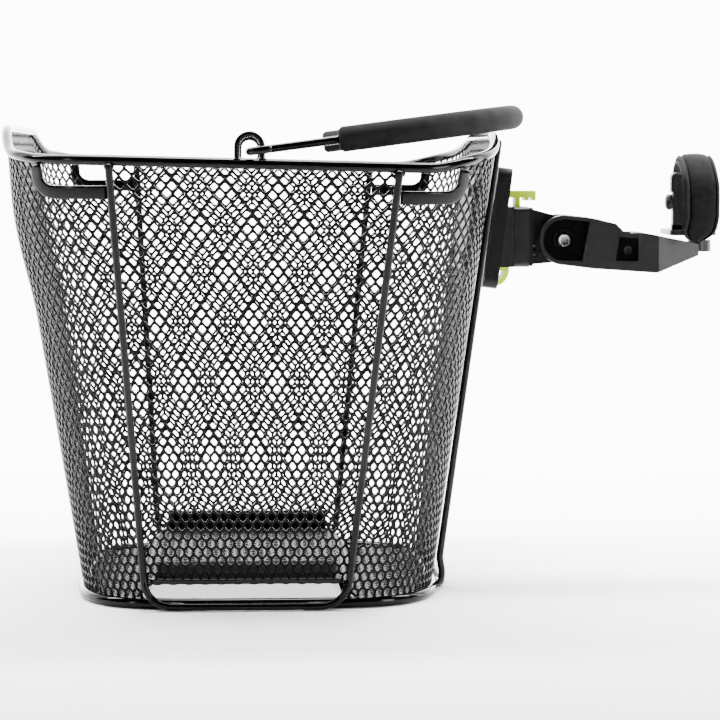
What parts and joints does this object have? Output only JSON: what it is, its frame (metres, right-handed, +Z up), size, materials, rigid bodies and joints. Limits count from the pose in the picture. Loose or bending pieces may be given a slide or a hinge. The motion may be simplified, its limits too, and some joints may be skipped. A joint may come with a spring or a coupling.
{
  "type": "handlebar basket",
  "caption": "Tapered expanded-metal bicycle basket with a swinging carry handle and a quick-release adapter on a tilting arm with a padded stem strap.",
  "frame": {"origin": "Under the middle of the whole in X and Y, at the level of the base ring's flat foot.", "axes": "+Z up, +X towards the rider (the arm and strap are at the +X end), +Y the bicycle's right."},
  "size_m": [0.423, 0.3468, 0.2876],
  "materials": {
    "painted_wire": "gloss black powder coat",
    "black_plastic": "satin moulded black plastic",
    "lime_plastic": "satin yellow-green plastic",
    "foam": "matte closed-cell foam",
    "strap_cloth": "quilted black cloth over thin padding",
    "steel": "zinc-plated steel"
  },
  "bodies": {
    "basket": {"mesh_wall": "painted_wire", "mesh_floor": "painted_wire", "top_rim": "painted_wire", "base_ring": "painted_wire", "rear_frame": "painted_wire", "front_plate": "black_plastic", "side_frame_left": "painted_wire", "side_frame_right": "painted_wire", "front_strip_left": "painted_wire", "front_strip_right": "painted_wire", "rear_strip_left": "painted_wire", "rear_strip_right": "painted_wire", "handle_eye_left": "painted_wire", "handle_eye_right": "painted_wire", "back_plate": "black_plastic", "clamp_plate": "black_plastic", "plate_screw_1": "steel", "plate_screw_2": "steel", "plate_screw_3": "steel", "plate_screw_4": "steel"},
    "handle": {"handle_bail": "painted_wire", "handle_grip": "foam"},
    "adapter": {"adapter_housing": "black_plastic", "adapter_cover": "black_plastic", "adapter_neck": "black_plastic", "latch_spring": "steel", "neck_screw_left": "steel", "neck_screw_right": "steel"},
    "latch": {"release_slider": "lime_plastic"},
    "arm": {"arm_cheek_left": "black_plastic", "arm_cheek_right": "black_plastic", "pivot_washer_left": "steel", "pivot_washer_right": "steel", "pivot_bolt": "steel", "pivot_nut": "steel", "cross_bolt": "steel", "cross_nut": "steel", "cross_spacer": "black_plastic", "stem_saddle": "black_plastic", "strap_inner": "black_plastic", "strap_padded": "strap_cloth", "strap_buckle": "black_plastic"},
    "knob": {"strap_knob": "black_plastic"}
  },
  "joints": [
    {"name": "handle_swing", "type": "hinge", "parent": "basket", "child": "handle", "pos_m": [-0.06998, 0, 0.26008], "axis": [0, -1, 0], "range_deg": [0, 162]},
    {"name": "adapter_release", "type": "slide", "parent": "basket", "child": "adapter", "axis": [-0.1305, 0, -0.9914], "range_m": [0, 0.04]},
    {"name": "latch_press", "type": "slide", "parent": "adapter", "child": "latch", "axis": [-0.1305, 0, -0.9914], "range_m": [0, 0.0035], "stiffness_N_per_m": 600, "springref_m": -0.002, "deforming": ["latch_spring"]},
    {"name": "arm_tilt", "type": "hinge", "parent": "adapter", "child": "arm", "pos_m": [0.11952, 0, 0.207], "axis": [0, 1, 0], "range_deg": [-40, 40]},
    {"name": "knob_turn", "type": "hinge", "parent": "arm", "child": "knob", "pos_m": [0.18202, -0.0204, 0.23], "axis": [1, 0, 0], "continuous": true}
  ]
}
